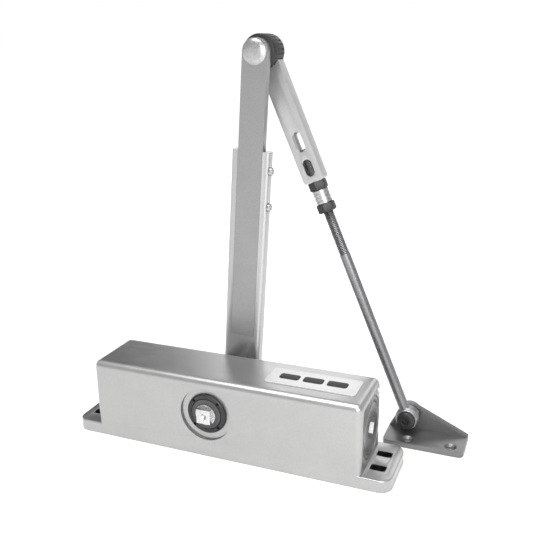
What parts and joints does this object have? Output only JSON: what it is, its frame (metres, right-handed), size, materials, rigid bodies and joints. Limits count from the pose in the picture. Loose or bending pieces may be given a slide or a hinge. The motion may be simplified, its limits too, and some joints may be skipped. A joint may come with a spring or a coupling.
{
  "type": "door closer",
  "caption": "Surface-mounted rack-and-pinion door closer: rectangular body with slotted ears, main arm, adjustable forearm and mounting shoe.",
  "frame": {"origin": "centre of the four screw slots, on the plane of the door", "axes": "+X along the body towards the spring end, +Y along the spindle towards the arm, +Z out from the door"},
  "size_m": [0.2931, 0.0979, 0.3008],
  "materials": {
    "casting_paint": "fine sprayed silver paint",
    "arm_paint": "fine sprayed silver paint",
    "arm_bar_steel": "sprayed grey-silver paint",
    "shoe_paint": "sprayed silver paint",
    "rod_steel": "dull zinc plate",
    "shaft_steel": "ground",
    "nut_steel": "bright zinc plate",
    "plug_steel": "zinc plate",
    "dark_steel": "black oxide",
    "bearing_steel": "polished",
    "spring_steel": "oil tempered",
    "piston_iron": "machined",
    "valve_brass": "machined",
    "seal_rubber": "matte",
    "cover_plastic": "moulded",
    "badge_aluminium": "satin",
    "badge_enamel": "enamel"
  },
  "bodies": {
    "body": {"body_casting": "casting_paint", "left_end_plug": "plug_steel", "right_end_plug": "plug_steel", "left_plug_seal": "seal_rubber", "right_plug_seal": "seal_rubber", "front_bearing_nut": "dark_steel", "rear_bearing_nut": "dark_steel", "front_needle_bearing": "bearing_steel", "rear_needle_bearing": "bearing_steel", "front_spindle_seal": "seal_rubber", "rear_spindle_seal": "seal_rubber", "name_badge": "badge_aluminium", "badge_bars": "badge_enamel", "outer_spring": "spring_steel", "inner_spring": "spring_steel"},
    "piston": {"piston": "piston_iron", "piston_seals": "seal_rubber", "check_ball": "bearing_steel", "check_ball_retainer": "bearing_steel"},
    "spring_seat": {"spring_seat": "plug_steel"},
    "spring_adjuster": {"spring_adjuster": "plug_steel"},
    "sweep_valve": {"sweep_valve": "valve_brass", "sweep_valve_seal": "seal_rubber"},
    "latch_valve": {"latch_valve": "valve_brass", "latch_valve_seal": "seal_rubber"},
    "backcheck_valve": {"backcheck_valve": "valve_brass", "backcheck_valve_seal": "seal_rubber"},
    "spindle": {"pinion_shaft": "shaft_steel", "spindle_spacer": "shaft_steel", "main_arm_channel": "arm_paint", "main_arm_bar": "arm_bar_steel", "arm_set_screws": "nut_steel", "arm_washer": "nut_steel", "arm_screw": "dark_steel", "elbow_rivet": "nut_steel", "elbow_washer": "nut_steel"},
    "forearm": {"elbow_cover": "cover_plastic", "elbow_spacer": "bearing_steel", "forearm": "arm_paint", "upper_lock_nut": "dark_steel", "lower_lock_nut": "dark_steel", "clamp_sleeve": "nut_steel"},
    "rod": {"forearm_rod": "rod_steel"},
    "shoe": {"shoe_bracket": "shoe_paint", "shoe_pivot_screw": "dark_steel", "shoe_washer": "nut_steel"}
  },
  "joints": [
    {"name": "spindle_turn", "type": "hinge", "parent": "body", "child": "spindle", "pos_m": [-0.011, 0, 0.034], "axis": [0, 1, 0], "range_deg": [0, 180], "stiffness_Nm_per_rad": 6, "springref_deg": -143.24},
    {"name": "piston_slide", "type": "slide", "parent": "body", "child": "piston", "axis": [1, 0, 0], "range_m": [0, 0.03162], "deforming": ["outer_spring", "inner_spring"]},
    {"name": "elbow_hinge", "type": "hinge", "parent": "spindle", "child": "forearm", "pos_m": [0.00768, 0.0575, 0.28831], "axis": [0, 1, 0], "range_deg": [-130, 18]},
    {"name": "rod_slide", "type": "slide", "parent": "forearm", "child": "rod", "axis": [0.3846, 0, -0.9231], "range_m": [-0.02, 0.03]},
    {"name": "shoe_hinge", "type": "hinge", "parent": "rod", "child": "shoe", "pos_m": [0.12112, 0.0575, 0.016], "axis": [0, 1, 0], "range_deg": [-100, 80]},
    {"name": "spring_adjuster_turn", "type": "hinge", "parent": "body", "child": "spring_adjuster", "pos_m": [0.087, 0, 0.034], "axis": [1, 0, 0], "range_deg": [0, 1800]},
    {"name": "spring_seat_slide", "type": "slide", "parent": "body", "child": "spring_seat", "axis": [-1, 0, 0], "range_m": [0, 0.0076]},
    {"name": "sweep_valve_turn", "type": "hinge", "parent": "body", "child": "sweep_valve", "pos_m": [-0.107, -0.0175, 0.0555], "axis": [1, 0, 0], "range_deg": [0, 720]},
    {"name": "latch_valve_turn", "type": "hinge", "parent": "body", "child": "latch_valve", "pos_m": [-0.107, 0.0175, 0.0555], "axis": [1, 0, 0], "range_deg": [0, 720]},
    {"name": "backcheck_valve_turn", "type": "hinge", "parent": "body", "child": "backcheck_valve", "pos_m": [0.107, 0.0175, 0.0555], "axis": [1, 0, 0], "range_deg": [0, 720]}
  ],
  "couplings": [
    {"joint": "piston_slide", "follows": "spindle_turn", "m_per_rad": 0.01},
    {"joint": "spring_seat_slide", "follows": "spring_adjuster_turn", "m_per_rad": 0.00023873}
  ]
}
